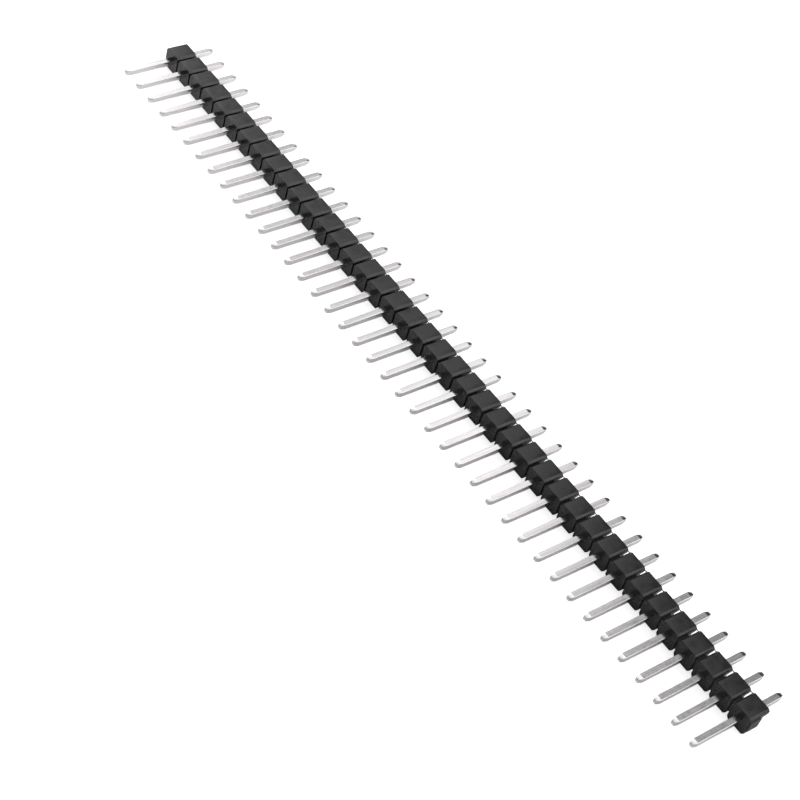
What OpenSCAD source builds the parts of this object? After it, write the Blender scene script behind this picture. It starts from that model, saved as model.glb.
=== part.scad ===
// Straight breakaway pin header, one row of square pins through a notched housing.
// The row lies on its flat side: X runs along the row, Y along the pins with the long
// ends towards -Y, and Z is up. The origin is on the surface that the row lies on, under
// the middle of its length and halfway between the pins' two tips. Sizes are in millimetres.

/* [Row] */
// Number of pins in the row
positions = 40; // [2:1:50]
// Distance between neighbouring pins
pitch = 2.54; // [2.2:0.01:4]

/* [Housing] */
// Size of the housing along the pins
body_depth = 2.5; // [2:0.05:4]
// Height of the housing across the pins
body_height = 2.46; // [2:0.02:3.6]
// Width of the slit between two blocks
slit_w = 0.26; // [0.1:0.02:0.5]
// Width of the bevel along each long edge of a block
bevel_w = 0.22; // [0.1:0.02:0.4]
// Height of that bevel
bevel_h = 0.3; // [0.1:0.02:0.34]
// Width of the break notch at the board face, where it opens between two blocks
notch_w = 0.8; // [0.5:0.05:1]
// Depth of the break notch, which tapers inwards
notch_depth = 1; // [0.5:0.05:1.2]
// Step from a block's side into the notch at its inner end and under the lip
notch_step = 0.03; // [0.02:0.01:0.06]
// Height of the top lip over the notch at the board face
lip_h = 0.62; // [0.5:0.02:0.7]
// Height of the material over the notch at its inner end
notch_root_h = 0.82; // [0.72:0.02:1]
// Depth below the top at which the notch reaches its full width
notch_full_h = 1.24; // [0.8:0.02:1.4]
// Depth of the thin bridge that joins the lips at the board face
bridge_depth = 0.1; // [0.1:0.02:0.3]
// Height of that bridge
bridge_h = 0.08; // [0.08:0.02:0.14]
// Height of the web that joins the blocks
web_h = 1.2; // [0.6:0.05:1.2]
// Setback of the web from the face on the long side
web_front_gap = 0.16; // [0.05:0.01:0.4]

/* [Pins] */
// Thickness of the square pins
pin_w = 0.64; // [0.5:0.02:0.8]
// Length of a pin from the housing to its tip on the long side
long_side = 6; // [4:0.1:12]
// Length of a pin from the board face to its tip on the short side
short_side = 3; // [2:0.1:6]
// Length of the taper at each tip
tip_taper = 0.5; // [0.2:0.05:0.8]
// Thickness left at the end of a tip
tip_w = 0.4; // [0.2:0.02:0.44]

/* [Grip] */
// Reach of the barbs that hold a pin in the housing
barb_reach = 0.1; // [0.04:0.01:0.16]
// Length of a barb's ramp along the pin
barb_ramp = 0.6; // [0.3:0.05:0.8]

/* [Hidden] */
row_length = positions * pitch;
long_end = -(long_side + body_depth + short_side) / 2;
short_end = -long_end;
front_y = long_end + long_side;
back_y = front_y + body_depth;
pin_z = body_height / 2;
notch_y = back_y - notch_depth;
block_half = (pitch - slit_w) / 2;
flat_half = block_half - bevel_w;
function pin_x(i) = (i - (positions - 1) / 2) * pitch;
function pin_name(i) = str("pin_", i < 9 ? "0" : "", i + 1);

// One block of the housing, which carries one pin: a rectangle with four bevelled corners,
// seen along the pins
module block() {
    translate([0, back_y, 0])
        rotate([90, 0, 0])
            linear_extrude(body_depth)
                polygon([
                    [-flat_half, 0],
                    [flat_half, 0],
                    [block_half, bevel_h],
                    [block_half, body_height - bevel_h],
                    [flat_half, body_height],
                    [-flat_half, body_height],
                    [-block_half, body_height - bevel_h],
                    [-block_half, bevel_h]
                ]);
}

// The web that joins all the blocks inside the slits, as far back as the break notches. Its
// stubs reach half a slit past the two end blocks.
module web() {
    web_y = front_y + web_front_gap;
    translate([-row_length / 2, web_y, pin_z - web_h / 2])
        cube([row_length, notch_y - web_y, web_h]);
}

// The thin bridge across the slits at the board face, between the lips of all the blocks
module lip_bridge() {
    length = row_length - slit_w - 2 * bevel_w;
    translate([-length / 2, back_y - bridge_depth, body_height - bevel_h - bridge_h])
        cube([length, bridge_depth, bridge_h]);
}

// The tapered notch under the lips, open to the board face and to the underside. The web stops
// where it begins, so the row snaps there when it is broken to length.
module break_notch() {
    inner = slit_w / 2 + notch_step;
    outer = notch_w / 2;
    mouth_y = back_y + slit_w;
    intersection() {
        translate([0, 0, -body_height])
            linear_extrude(2 * body_height)
                polygon([
                    [-inner, notch_y],
                    [inner, notch_y],
                    [outer, back_y],
                    [outer, mouth_y],
                    [-outer, mouth_y],
                    [-outer, back_y]
                ]);
        translate([-notch_w, 0, body_height])
            rotate([90, 0, 90])
                linear_extrude(2 * notch_w)
                    polygon([
                        [front_y, -2 * body_height],
                        [mouth_y, -2 * body_height],
                        [mouth_y, -lip_h],
                        [back_y, -lip_h],
                        [notch_y, -notch_root_h],
                        [front_y, -notch_root_h]
                    ]);
        translate([0, mouth_y, body_height])
            rotate([90, 0, 0])
                linear_extrude(mouth_y - front_y)
                    polygon([
                        [-outer, -2 * body_height],
                        [outer, -2 * body_height],
                        [outer, -notch_full_h],
                        [inner, -lip_h],
                        [-inner, -lip_h],
                        [-outer, -notch_full_h]
                    ]);
    }
}

// Outline of a pin from above, in X and Y, with a barb on each side inside the housing
module pin_plan() {
    half = pin_w / 2;
    tip = tip_w / 2;
    ramp_start = (front_y + back_y - barb_ramp) / 2;
    ramp_end = ramp_start + barb_ramp;
    polygon([
        [-tip, long_end],
        [tip, long_end],
        [half, long_end + tip_taper],
        [half, ramp_start],
        [half + barb_reach, ramp_end],
        [half, ramp_end],
        [half, short_end - tip_taper],
        [tip, short_end],
        [-tip, short_end],
        [-half, short_end - tip_taper],
        [-half, ramp_end],
        [-half - barb_reach, ramp_end],
        [-half, ramp_start],
        [-half, long_end + tip_taper]
    ]);
}

// Outline of a pin from the side, in Y and Z about its own axis
module pin_side() {
    half = pin_w / 2;
    tip = tip_w / 2;
    polygon([
        [long_end, -tip],
        [long_end + tip_taper, -half],
        [short_end - tip_taper, -half],
        [short_end, -tip],
        [short_end, tip],
        [short_end - tip_taper, half],
        [long_end + tip_taper, half],
        [long_end, tip]
    ]);
}

// One pin on its own axis: square wire with a four-sided taper at both tips
module pin_blank() {
    widest = pin_w + 2 * barb_reach;
    intersection() {
        translate([0, 0, -pin_w / 2])
            linear_extrude(pin_w)
                pin_plan();
        translate([-widest / 2, 0, 0])
            rotate([90, 0, 90])
                linear_extrude(widest)
                    pin_side();
    }
}

// A pin where it stands in the row, counted from the -X end
module pin(i) {
    color("lightgray")
        translate([pin_x(i), 0, pin_z])
            pin_blank();
}

// The moulded housing. The plastic closes on the pins, so each hole has the pin's own form.
module housing() {
    color([0.13, 0.13, 0.14])
        difference() {
            union() {
                for (i = [0:positions - 1])
                    translate([pin_x(i), 0, 0])
                        block();
                web();
                lip_bridge();
            }
            for (i = [0:positions])
                translate([pin_x(i) - pitch / 2, 0, 0])
                    break_notch();
            for (i = [0:positions - 1])
                translate([pin_x(i), 0, pin_z])
                    pin_blank();
        }
}

housing();
for (i = [0:positions - 1])
    pin(i);
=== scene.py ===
"""A 40-way breakaway pin header strip lying on its side: one moulded housing and 40 tinned pins."""

import math

import bmesh
import bpy
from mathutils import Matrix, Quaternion, Vector, noise


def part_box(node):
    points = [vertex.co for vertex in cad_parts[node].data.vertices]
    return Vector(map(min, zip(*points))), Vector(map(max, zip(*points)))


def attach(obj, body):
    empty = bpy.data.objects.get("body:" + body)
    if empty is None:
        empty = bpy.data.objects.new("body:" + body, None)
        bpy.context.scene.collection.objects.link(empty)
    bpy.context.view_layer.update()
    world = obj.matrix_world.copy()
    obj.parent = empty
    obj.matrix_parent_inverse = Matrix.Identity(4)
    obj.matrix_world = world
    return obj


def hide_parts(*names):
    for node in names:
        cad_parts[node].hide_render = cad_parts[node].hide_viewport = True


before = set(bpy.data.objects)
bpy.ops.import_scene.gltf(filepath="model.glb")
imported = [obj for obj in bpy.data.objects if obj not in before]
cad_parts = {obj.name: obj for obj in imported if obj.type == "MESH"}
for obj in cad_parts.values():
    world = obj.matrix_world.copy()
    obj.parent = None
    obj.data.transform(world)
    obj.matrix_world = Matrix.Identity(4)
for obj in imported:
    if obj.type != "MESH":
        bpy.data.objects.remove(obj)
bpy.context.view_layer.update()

# Camera
# A long lens looks down across the row at half a right angle. The near end stands at the
# lower right, and the camera is rolled so that the row runs from corner to corner.
camera = bpy.data.objects.new("camera", bpy.data.cameras.new("camera"))
bpy.context.scene.collection.objects.link(camera)
bpy.context.scene.camera = camera
camera.data.lens = 88.006
camera.data.sensor_width = 36.0
camera.data.clip_start = 0.01
camera.data.clip_end = 20.0
look_down = math.radians(45.121)
look_left = math.radians(41.744)
camera_roll = math.radians(17.641)
look = Vector(
    (
        -math.sin(look_left) * math.cos(look_down),
        math.cos(look_left) * math.cos(look_down),
        -math.sin(look_down),
    )
)
camera.location = (0.095328, -0.107469, 0.138081)
camera.rotation_mode = "QUATERNION"
camera.rotation_quaternion = Quaternion(look, -camera_roll) @ look.to_track_quat("-Z", "Y")

# Housing
# The insulator is one injection moulding in black glass-filled polyester: 40 blocks in a
# row, joined by a thin web inside the slits, with a tapered notch under a lip at each joint
# where the row snaps. The mould leaves the edges a little round and the tops slightly crowned.
MM = 0.001
pin_boxes = {name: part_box(name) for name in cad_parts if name.startswith("pin_")}
house_low, house_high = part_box("housing")
count = len(pin_boxes)
pitch = (house_high.x - house_low.x) / count
front_y, back_y = house_low.y, house_high.y
top_z = house_high.z
pin_z = top_z / 2
slit = 0.26 * MM
bevel_w = 0.22 * MM
bevel_h = 0.30 * MM
notch_w = 0.80 * MM
notch_y = back_y - 1.00 * MM
notch_step = 0.03 * MM
lip_h = 0.62 * MM
notch_root_h = 0.82 * MM
notch_full_h = 1.24 * MM
bridge_depth = 0.10 * MM
bridge_h = 0.08 * MM
web_h = 1.20 * MM
web_front_y = front_y + 0.16 * MM
edge_round = 0.045 * MM
crown = 0.03 * MM
crown_inset = 0.26 * MM
lip_fall = 0.06 * MM
torn_depth = 0.11 * MM
mean_pit_depth = 0.05 * MM
pit_size = 0.16 * MM
weld = 0.002 * MM
# the cutting shapes run this far past the faces that they cut
past = 0.20 * MM
sharp_angle = math.radians(15)
corners = ((-1, -1), (1, -1), (1, 1), (-1, 1))


def prism(outline, place):
    """A closed prism between two copies of an outline. place(point, end) gives each corner."""
    mesh = bmesh.new()
    ends = [[mesh.verts.new(place(point, end)) for point in outline] for end in (0, 1)]
    for i in range(len(outline)):
        j = (i + 1) % len(outline)
        mesh.faces.new((ends[0][i], ends[0][j], ends[1][j], ends[1][i]))
    mesh.faces.new(ends[0][::-1])
    mesh.faces.new(ends[1])
    return mesh


def link_object(name, mesh):
    """Makes an object from a bmesh and puts it in the scene."""
    bmesh.ops.recalc_face_normals(mesh, faces=mesh.faces)
    data = bpy.data.meshes.new(name)
    mesh.to_mesh(data)
    mesh.free()
    made = bpy.data.objects.new(name, data)
    bpy.context.scene.collection.objects.link(made)
    return made


def boolean(made, mesh, operation):
    """Joins, cuts or intersects an object with a closed bmesh and keeps the result as its mesh."""
    other = link_object("tool", mesh)
    step = made.modifiers.new("boolean", "BOOLEAN")
    step.object = other
    step.operation = operation
    step.solver = "EXACT"
    result = made.evaluated_get(bpy.context.evaluated_depsgraph_get())
    data = bpy.data.meshes.new_from_object(result)
    made.modifiers.clear()
    made.data = data
    bpy.data.objects.remove(other)


def notch(centre_x):
    """The notch at a joint: narrow at its inner end and under the lip, open at back and below."""
    across, inner = notch_w / 2, slit / 2 + notch_step
    plan = [
        (-inner, notch_y),
        (inner, notch_y),
        (across, back_y),
        (across, back_y + past),
        (-across, back_y + past),
        (-across, back_y),
    ]
    side = [
        (notch_y - past, -past),
        (back_y + past, -past),
        (back_y + past, top_z - lip_h),
        (back_y, top_z - lip_h),
        (notch_y, top_z - notch_root_h),
        (notch_y - past, top_z - notch_root_h),
    ]
    front = [
        (-across, -past),
        (across, -past),
        (across, top_z - notch_full_h),
        (inner, top_z - lip_h),
        (-inner, top_z - lip_h),
        (-across, top_z - notch_full_h),
    ]
    heights = (-past, top_z)
    sides = (-3 * past, 3 * past)
    depths = (notch_y - past, back_y + past)
    from_above = prism(plan, lambda p, end: (centre_x + p[0], p[1], heights[end]))
    from_side = prism(side, lambda p, end: (centre_x + sides[end], p[0], p[1]))
    from_front = prism(front, lambda p, end: (centre_x + p[0], depths[end], p[1]))
    cutter = link_object("notch", from_above)
    boolean(cutter, from_side, "INTERSECT")
    boolean(cutter, from_front, "INTERSECT")
    mesh = bmesh.new()
    mesh.from_mesh(cutter.data)
    bpy.data.objects.remove(cutter)
    return mesh


block_half = (pitch - slit) / 2
flat_half = block_half - bevel_w
block_outline = [
    (-flat_half, 0),
    (flat_half, 0),
    (block_half, bevel_h),
    (block_half, top_z - bevel_h),
    (flat_half, top_z - crown),
    (-flat_half, top_z - crown),
    (-block_half, top_z - bevel_h),
    (-block_half, bevel_h),
]
block = prism(block_outline, lambda p, end: (p[0], (front_y, back_y)[end], p[1]))
cell = link_object("cell", block)
boolean(cell, notch(-pitch / 2), "DIFFERENCE")
boolean(cell, notch(pitch / 2), "DIFFERENCE")

# every edge is rounded, and the top is a little crowned and falls towards the board face
rounded = bmesh.new()
rounded.from_mesh(cell.data)
bmesh.ops.dissolve_limit(
    rounded, angle_limit=math.radians(1), verts=rounded.verts, edges=rounded.edges
)
sharp = [
    e
    for e in rounded.edges
    if len(e.link_faces) == 2 and e.calc_face_angle(0) > sharp_angle
]
bmesh.ops.bevel(
    rounded,
    geom=sharp,
    offset=edge_round,
    segments=3,
    profile=0.5,
    affect="EDGES",
    clamp_overlap=True,
)
rounded.normal_update()
top_face = max(rounded.faces, key=lambda f: f.calc_area() * (f.normal.z > 0.999))
for part_of_crown in (0.7, 0.3):
    bmesh.ops.inset_individual(
        rounded,
        faces=[top_face],
        thickness=crown_inset,
        depth=crown * part_of_crown,
        use_even_offset=True,
    )
for vert in rounded.verts:
    over_notch = max(0.0, (vert.co.y - notch_y) / (back_y - notch_y))
    if vert.co.z > top_z - bevel_h * 0.5:
        vert.co.z -= lip_fall * over_notch**1.5
rounded.to_mesh(cell.data)
rounded.free()

web_outline = [
    (web_front_y, pin_z - web_h / 2),
    (notch_y, pin_z - web_h / 2),
    (notch_y, pin_z + web_h / 2),
    (web_front_y, pin_z + web_h / 2),
]
web = prism(web_outline, lambda p, end: ((-pitch / 2, pitch / 2)[end], p[0], p[1]))
boolean(cell, web, "UNION")
pin_low, pin_high = pin_boxes["pin_01"]
pin_half = (pin_high.z - pin_low.z) / 2
hole = [(sx * pin_half, sz * pin_half) for sx, sz in corners]
through = (front_y - past, back_y + past)
boolean(cell, prism(hole, lambda p, end: (p[0], through[end], pin_z + p[1])), "DIFFERENCE")

strip = bmesh.new()
for i in range(count):
    before = len(strip.verts)
    strip.from_mesh(cell.data)
    strip.verts.ensure_lookup_table()
    shift = Vector(((i - (count - 1) / 2) * pitch, 0, 0))
    bmesh.ops.translate(strip, verts=strip.verts[before:], vec=shift)
bpy.data.objects.remove(cell)

# the thin bridge runs across the slits at the board face, from the first lip to the last
bridge_outline = [
    (back_y - bridge_depth, top_z - bevel_h - bridge_h),
    (back_y - edge_round, top_z - bevel_h - bridge_h),
    (back_y - edge_round, top_z - bevel_h),
    (back_y - bridge_depth, top_z - bevel_h),
]
reach = (count * pitch - slit) / 2 - bevel_w
bridge = prism(bridge_outline, lambda p, end: ((-reach, reach)[end], p[0], p[1]))

# neighbouring cells meet in the web's section: the two caps there go and the rims are welded
strip.normal_update()
inner_caps, end_caps = [], []
for face in strip.faces:
    step = (face.calc_center_median().x - house_low.x) / pitch
    if abs(face.normal.x) > 0.99 and abs(step - round(step)) < 1e-3:
        (inner_caps if 0 < round(step) < count else end_caps).append(face)
bmesh.ops.delete(strip, geom=inner_caps, context="FACES_ONLY")
bmesh.ops.remove_doubles(strip, verts=strip.verts, dist=weld)

# the stubs at both ends were snapped by hand: a rough, torn face with pits up to 0.1 mm deep.
# The rim stays at the row's full length. So does a point beside one that has already sunk, so
# the pattern of the pits follows the order of the set and isn't quite the same each run
cap_edges = {e for f in end_caps if f.is_valid for e in f.edges}
bmesh.ops.subdivide_edges(strip, edges=list(cap_edges), cuts=9, use_grid_fill=True)


def off_end(face, margin):
    """True if the middle of a face is further than margin from the end of the row."""
    return abs(abs(face.calc_center_median().x) - house_high.x) > margin


for vert in {v for f in strip.faces for v in f.verts if not off_end(f, 1e-7)}:
    on_rim = any(off_end(f, 1e-6) for f in vert.link_faces)
    depth = mean_pit_depth * (1 + noise.noise(vert.co / pit_size))
    vert.co.x -= math.copysign(0.0 if on_rim else depth, vert.co.x)
housing = link_object("moulded_housing", strip)
boolean(housing, bridge, "UNION")


def linear(hex_code):
    """sRGB hex to the linear colour that a shader socket takes."""
    parts = [int(hex_code[i : i + 2], 16) / 255 for i in (1, 3, 5)]
    return tuple(c / 12.92 if c <= 0.04045 else ((c + 0.055) / 1.055) ** 2.4 for c in parts) + (1.0,)


def add_node(tree, kind, settings=None, inputs=None, links=()):
    """Adds one node, sets its properties and input values, and links outputs into its inputs."""
    node = tree.nodes.new(kind)
    for key, value in (settings or {}).items():
        setattr(node, key, value)
    for key, value in (inputs or {}).items():
        node.inputs[key].default_value = value
    for socket, key in links:
        tree.links.new(socket, node.inputs[key])
    return node


def empty_material(name):
    """A material that has no nodes yet."""
    material = bpy.data.materials.new(name)
    material.use_nodes = True
    material.node_tree.nodes.clear()
    return material


def smooth(made):
    """Shades an object smooth, with flat faces kept flat and edges over 30 degrees kept sharp."""
    for polygon in made.data.polygons:
        polygon.use_smooth = True
    made.data.set_sharp_from_angle(angle=math.radians(30))
    weighted = made.modifiers.new("weighted_normals", "WEIGHTED_NORMAL")
    weighted.keep_sharp = True


# Moulded PBT with short glass fibre and carbon black: charcoal rather than jet black, with a
# soft sheen that is a little uneven, because the fibre lies near the skin in patches.
pbt_ior = 1.58
plastic = empty_material("moulded_black_glass_filled_pbt")
tree = plastic.node_tree
place = add_node(tree, "ShaderNodeTexCoord")
# the sheen changes over patches about 0.9 mm across
patch_size = 0.9 * MM
patches = add_node(
    tree,
    "ShaderNodeTexNoise",
    inputs={"Scale": 1 / patch_size, "Detail": 2.0, "Roughness": 0.55},
    links=[(place.outputs["Object"], "Vector")],
)
sheen = add_node(
    tree,
    "ShaderNodeMapRange",
    inputs={"From Min": 0.3, "From Max": 0.7, "To Min": 0.22, "To Max": 0.34},
    links=[(patches.outputs["Fac"], "Value")],
)
tone = add_node(tree, "ShaderNodeValToRGB", links=[(patches.outputs["Fac"], "Fac")])
tone.color_ramp.elements[0].position = 0.3
tone.color_ramp.elements[0].color = linear("#121213")
tone.color_ramp.elements[1].position = 0.7
tone.color_ramp.elements[1].color = linear("#19191a")
# spark-eroded mould skin: its real grain is about 0.02 mm, drawn at 0.09 mm to show
grain_size = 0.09 * MM
grain = add_node(
    tree,
    "ShaderNodeTexNoise",
    inputs={"Scale": 1 / grain_size, "Detail": 3.0, "Roughness": 0.6},
    links=[(place.outputs["Object"], "Vector")],
)
grain_bump = add_node(
    tree,
    "ShaderNodeBump",
    inputs={"Strength": 0.35, "Distance": 0.01 * MM},
    links=[(grain.outputs["Fac"], "Height")],
)
shade = add_node(
    tree,
    "ShaderNodeBsdfPrincipled",
    inputs={"IOR": pbt_ior},
    links=[
        (tone.outputs["Color"], "Base Color"),
        (sheen.outputs["Result"], "Roughness"),
        (grain_bump.outputs["Normal"], "Normal"),
    ],
)
add_node(tree, "ShaderNodeOutputMaterial", links=[(shade.outputs["BSDF"], "Surface")])

# Snapped PBT: the torn glass fibres stand out of the break and scatter light, so it is a
# dull mid grey beside the charcoal skin.
torn_plastic = empty_material("snapped_glass_filled_pbt")
tree = torn_plastic.node_tree
place = add_node(tree, "ShaderNodeTexCoord")
# tufts of broken fibre: the real ones are about 0.01 mm thick, drawn at 0.07 mm to show
tuft_size = 0.07 * MM
fibres = add_node(
    tree,
    "ShaderNodeTexNoise",
    inputs={"Scale": 1 / tuft_size, "Detail": 4.0, "Roughness": 0.7},
    links=[(place.outputs["Object"], "Vector")],
)
tone = add_node(tree, "ShaderNodeValToRGB", links=[(fibres.outputs["Fac"], "Fac")])
tone.color_ramp.elements[0].position = 0.35
tone.color_ramp.elements[0].color = linear("#303032")
tone.color_ramp.elements[1].position = 0.65
tone.color_ramp.elements[1].color = linear("#6e6e6f")
fibre_bump = add_node(
    tree,
    "ShaderNodeBump",
    inputs={"Strength": 0.8, "Distance": 0.03 * MM},
    links=[(fibres.outputs["Fac"], "Height")],
)
shade = add_node(
    tree,
    "ShaderNodeBsdfPrincipled",
    inputs={"Roughness": 0.75, "IOR": pbt_ior},
    links=[(tone.outputs["Color"], "Base Color"), (fibre_bump.outputs["Normal"], "Normal")],
)
add_node(tree, "ShaderNodeOutputMaterial", links=[(shade.outputs["BSDF"], "Surface")])

housing.data.materials.clear()
housing.data.materials.append(plastic)
housing.data.materials.append(torn_plastic)
for polygon in housing.data.polygons:
    polygon.material_index = int(abs(polygon.center.x) > house_high.x - torn_depth)
smooth(housing)
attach(housing, "root")
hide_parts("housing")

# Pins
# Each pin is cut from square drawn brass wire, 0.64 mm thick, with bright tin plating.
# Both ends are pressed to a four-sided taper, and the pin is pushed into its block.
long_end, short_end = pin_low.y, pin_high.y
taper = 0.50 * MM
tip_half = 0.20 * MM
wire_round = 0.045 * MM

# Bright tin over drawn brass: a silvery mirror dulled by fine die lines along the wire and
# by the plating's slightly cloudy patches.
tin = empty_material("bright_tin_on_drawn_brass")
tree = tin.node_tree
place = add_node(tree, "ShaderNodeTexCoord")
# die lines run along the wire: the real ones are finer, drawn at 0.07 mm apart to show
line_gap = 0.07 * MM
line_length = 3.5 * MM
drawn = add_node(
    tree,
    "ShaderNodeMapping",
    inputs={"Scale": (1 / line_gap, 1 / line_length, 1 / line_gap)},
    links=[(place.outputs["Object"], "Vector")],
)
lines = add_node(
    tree,
    "ShaderNodeTexNoise",
    inputs={"Scale": 1.0, "Detail": 2.0, "Roughness": 0.5},
    links=[(drawn.outputs["Vector"], "Vector")],
)
cloud_size = 0.35 * MM
cloud = add_node(
    tree,
    "ShaderNodeTexNoise",
    inputs={"Scale": 1 / cloud_size, "Detail": 3.0, "Roughness": 0.6},
    links=[(place.outputs["Object"], "Vector")],
)
haze = add_node(
    tree,
    "ShaderNodeMapRange",
    inputs={"From Min": 0.3, "From Max": 0.7, "To Min": 0.13, "To Max": 0.2},
    links=[(cloud.outputs["Fac"], "Value")],
)
tone = add_node(tree, "ShaderNodeValToRGB", links=[(lines.outputs["Fac"], "Fac")])
tone.color_ramp.elements[0].position = 0.3
tone.color_ramp.elements[0].color = linear("#dbd8da")
tone.color_ramp.elements[1].position = 0.6
tone.color_ramp.elements[1].color = linear("#eeebed")
line_bump = add_node(
    tree,
    "ShaderNodeBump",
    inputs={"Strength": 0.1, "Distance": 0.004 * MM},
    links=[(lines.outputs["Fac"], "Height")],
)
shade = add_node(
    tree,
    "ShaderNodeBsdfPrincipled",
    inputs={"Metallic": 1.0},
    links=[
        (tone.outputs["Color"], "Base Color"),
        (haze.outputs["Result"], "Roughness"),
        (line_bump.outputs["Normal"], "Normal"),
    ],
)
add_node(tree, "ShaderNodeOutputMaterial", links=[(shade.outputs["BSDF"], "Surface")])

for name in sorted(pin_boxes):
    low, high = pin_boxes[name]
    mid_x = (low.x + high.x) / 2
    body = bmesh.new()
    rings = [
        [body.verts.new((mid_x + sx * half, y, pin_z + sz * half)) for sx, sz in corners]
        for y, half in (
            (long_end, tip_half),
            (long_end + taper, pin_half),
            (short_end - taper, pin_half),
            (short_end, tip_half),
        )
    ]
    for a, b in zip(rings, rings[1:]):
        for i in range(4):
            body.faces.new((a[i], a[(i + 1) % 4], b[(i + 1) % 4], b[i]))
    body.faces.new(rings[0][::-1])
    body.faces.new(rings[-1])
    bmesh.ops.bevel(
        body,
        geom=body.edges[:],
        offset=wire_round,
        segments=3,
        profile=0.5,
        affect="EDGES",
        clamp_overlap=True,
    )
    pin = link_object("tinned_" + name, body)
    pin.data.materials.append(tin)
    smooth(pin)
    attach(pin, "root")
    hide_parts(name)

# Table
# The strip lies on a sheet of white paper. The glow stands for the paper's own brightness as the
# camera sees it. For the metal it is a painted reflection that grows towards the far end of the
# strip. It adds no light to the strip.
sheet_half = 1200 * MM
# the top is a hair below the underside of the blocks, so that the two never share a plane
sheet_levels = (-10.02 * MM, -0.02 * MM)
sheet = [(sx * sheet_half, sy * sheet_half) for sx, sy in corners]
floor = link_object("table", prism(sheet, lambda p, end: (p[0], p[1], sheet_levels[end])))
paper = empty_material("white_paper")
tree = paper.node_tree
ray = add_node(tree, "ShaderNodeLightPath")
matt = add_node(tree, "ShaderNodeBsdfDiffuse", inputs={"Color": linear("#eeeeee")})
glow_to_camera = 0.75
seen = add_node(
    tree,
    "ShaderNodeMath",
    settings={"operation": "MULTIPLY"},
    inputs={1: glow_to_camera},
    links=[(ray.outputs["Is Camera Ray"], 0)],
)
# painted reflection: the paper glows for the metal only, more towards the far end of the strip, so
# the pins' sides mirror a brighter floor there
along = add_node(
    tree,
    "ShaderNodeSeparateXYZ",
    links=[(add_node(tree, "ShaderNodeTexCoord").outputs["Object"], 0)],
)
painted_far_reflection = add_node(
    tree,
    "ShaderNodeMapRange",
    inputs={"From Min": house_low.x, "From Max": 0.1 * house_high.x, "To Min": 0.34, "To Max": 0.03},
    links=[(along.outputs["X"], "Value")],
)
mirrored = add_node(
    tree,
    "ShaderNodeMath",
    settings={"operation": "MULTIPLY_ADD"},
    links=[
        (ray.outputs["Is Glossy Ray"], 0),
        (painted_far_reflection.outputs["Result"], 1),
        (seen.outputs["Value"], 2),
    ],
)
glow = add_node(
    tree,
    "ShaderNodeEmission",
    inputs={"Color": (1.0, 1.0, 1.0, 1.0)},
    links=[(mirrored.outputs["Value"], "Strength")],
)
both = add_node(
    tree,
    "ShaderNodeAddShader",
    links=[(matt.outputs["BSDF"], 0), (glow.outputs["Emission"], 1)],
)
add_node(tree, "ShaderNodeOutputMaterial", links=[(both.outputs["Shader"], "Surface")])
floor.data.materials.append(paper)

# Light
# A white tent, bright above and behind and dim in front. The pins mirror it along the row: a
# soft gap behind the near end, a dimmer patch past the middle and a lamp beyond the far end.
world = bpy.data.worlds.new("light_tent")
bpy.context.scene.world = world
world.use_nodes = True
world.node_tree.nodes.clear()
tree = world.node_tree
way = add_node(tree, "ShaderNodeTexCoord")


def lobe(azimuth, height, inner, outer):
    """1 within inner degrees of a direction, falling smoothly to 0 at outer degrees."""
    a, h = math.radians(azimuth), math.radians(height)
    aim = (math.cos(a) * math.cos(h), math.sin(a) * math.cos(h), math.sin(h))
    facing = add_node(
        tree,
        "ShaderNodeVectorMath",
        settings={"operation": "DOT_PRODUCT"},
        inputs={1: aim},
        links=[(way.outputs["Generated"], 0)],
    )
    return add_node(
        tree,
        "ShaderNodeMapRange",
        settings={"interpolation_type": "SMOOTHSTEP"},
        inputs={
            "From Min": math.cos(math.radians(outer)),
            "From Max": math.cos(math.radians(inner)),
            "To Min": 0.0,
            "To Max": 1.0,
        },
        links=[(facing.outputs["Value"], "Value")],
    ).outputs["Result"]


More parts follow.
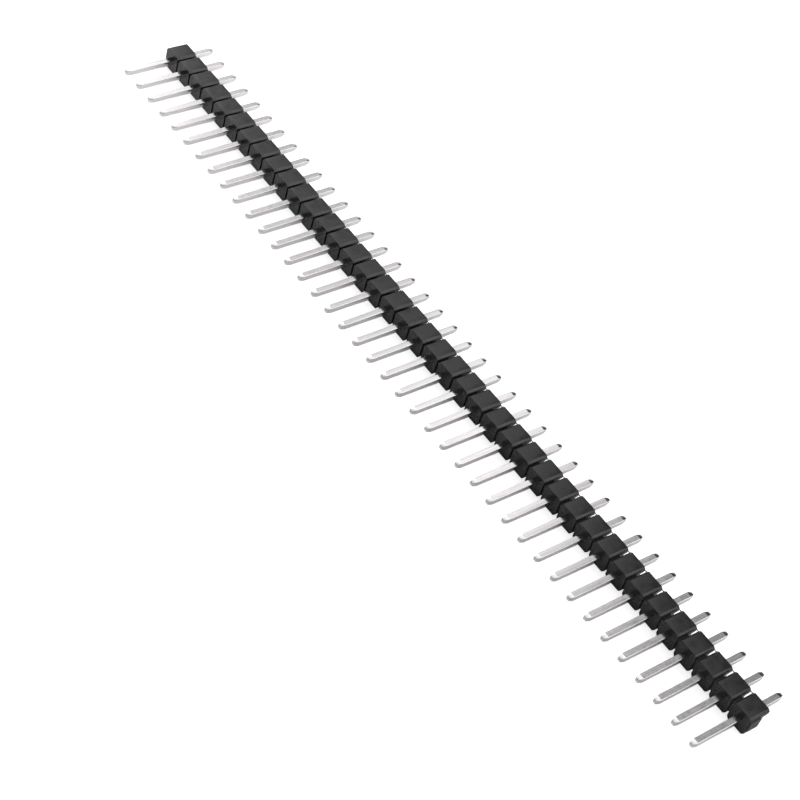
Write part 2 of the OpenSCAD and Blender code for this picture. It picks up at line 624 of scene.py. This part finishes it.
# the light comes from above and behind: the front wall is dim, and the rear wall is dimmer
# towards the table
parts = add_node(tree, "ShaderNodeSeparateXYZ", links=[(way.outputs["Generated"], 0)])
low_wall = add_node(
    tree,
    "ShaderNodeMapRange",
    settings={"interpolation_type": "SMOOTHSTEP"},
    inputs={"From Min": 0.45, "From Max": 0.70, "To Min": -0.55, "To Max": 0.0},
    links=[(parts.outputs["Z"], "Value")],
)
depth = add_node(
    tree,
    "ShaderNodeMapRange",
    settings={"interpolation_type": "SMOOTHSTEP"},
    inputs={"From Min": -0.35, "From Max": 0.15, "To Min": 0.18, "To Max": 1.24},
    links=[(parts.outputs["Y"], "Value")],
)
strength = add_node(
    tree,
    "ShaderNodeMath",
    settings={"operation": "ADD"},
    links=[(low_wall.outputs["Result"], 0), (depth.outputs["Result"], 1)],
).outputs["Value"]
# each patch of the tent: azimuth and height of its middle, inner and outer radius in degrees,
# and the change in strength. In turn: the gap behind the near end, the dark foot of the gap that
# the short tips mirror, the dimmer patch, the lamp, and the right wall that lights the pins' edges
for azimuth, height, inner, outer, change in (
    (108, 43, 9, 13.5, -1.0),
    (108, 22, 9, 19, -1.0),
    (140, 38, 3, 11, -0.65),
    (160, 41, 5, 16, 2.4),
    (38, 28, 12, 26, 1.1),
):
    strength = add_node(
        tree,
        "ShaderNodeMath",
        settings={"operation": "MULTIPLY_ADD"},
        inputs={1: change},
        links=[(lobe(azimuth, height, inner, outer), 0), (strength, 2)],
    ).outputs["Value"]
darkest = 0.05
kept = add_node(
    tree,
    "ShaderNodeMath",
    settings={"operation": "MAXIMUM"},
    inputs={1: darkest},
    links=[(strength, 0)],
)
# the camera itself sees plain white behind the table
ray = add_node(tree, "ShaderNodeLightPath")
backdrop = add_node(
    tree,
    "ShaderNodeMath",
    settings={"operation": "MAXIMUM"},
    links=[(kept.outputs["Value"], 0), (ray.outputs["Is Camera Ray"], 1)],
)
sky = add_node(
    tree,
    "ShaderNodeBackground",
    inputs={"Color": (1.0, 1.0, 1.0, 1.0)},
    links=[(backdrop.outputs["Value"], "Strength")],
)
add_node(tree, "ShaderNodeOutputWorld", links=[(sky.outputs["Background"], "Surface")])

bpy.context.scene.view_settings.view_transform = "Standard"
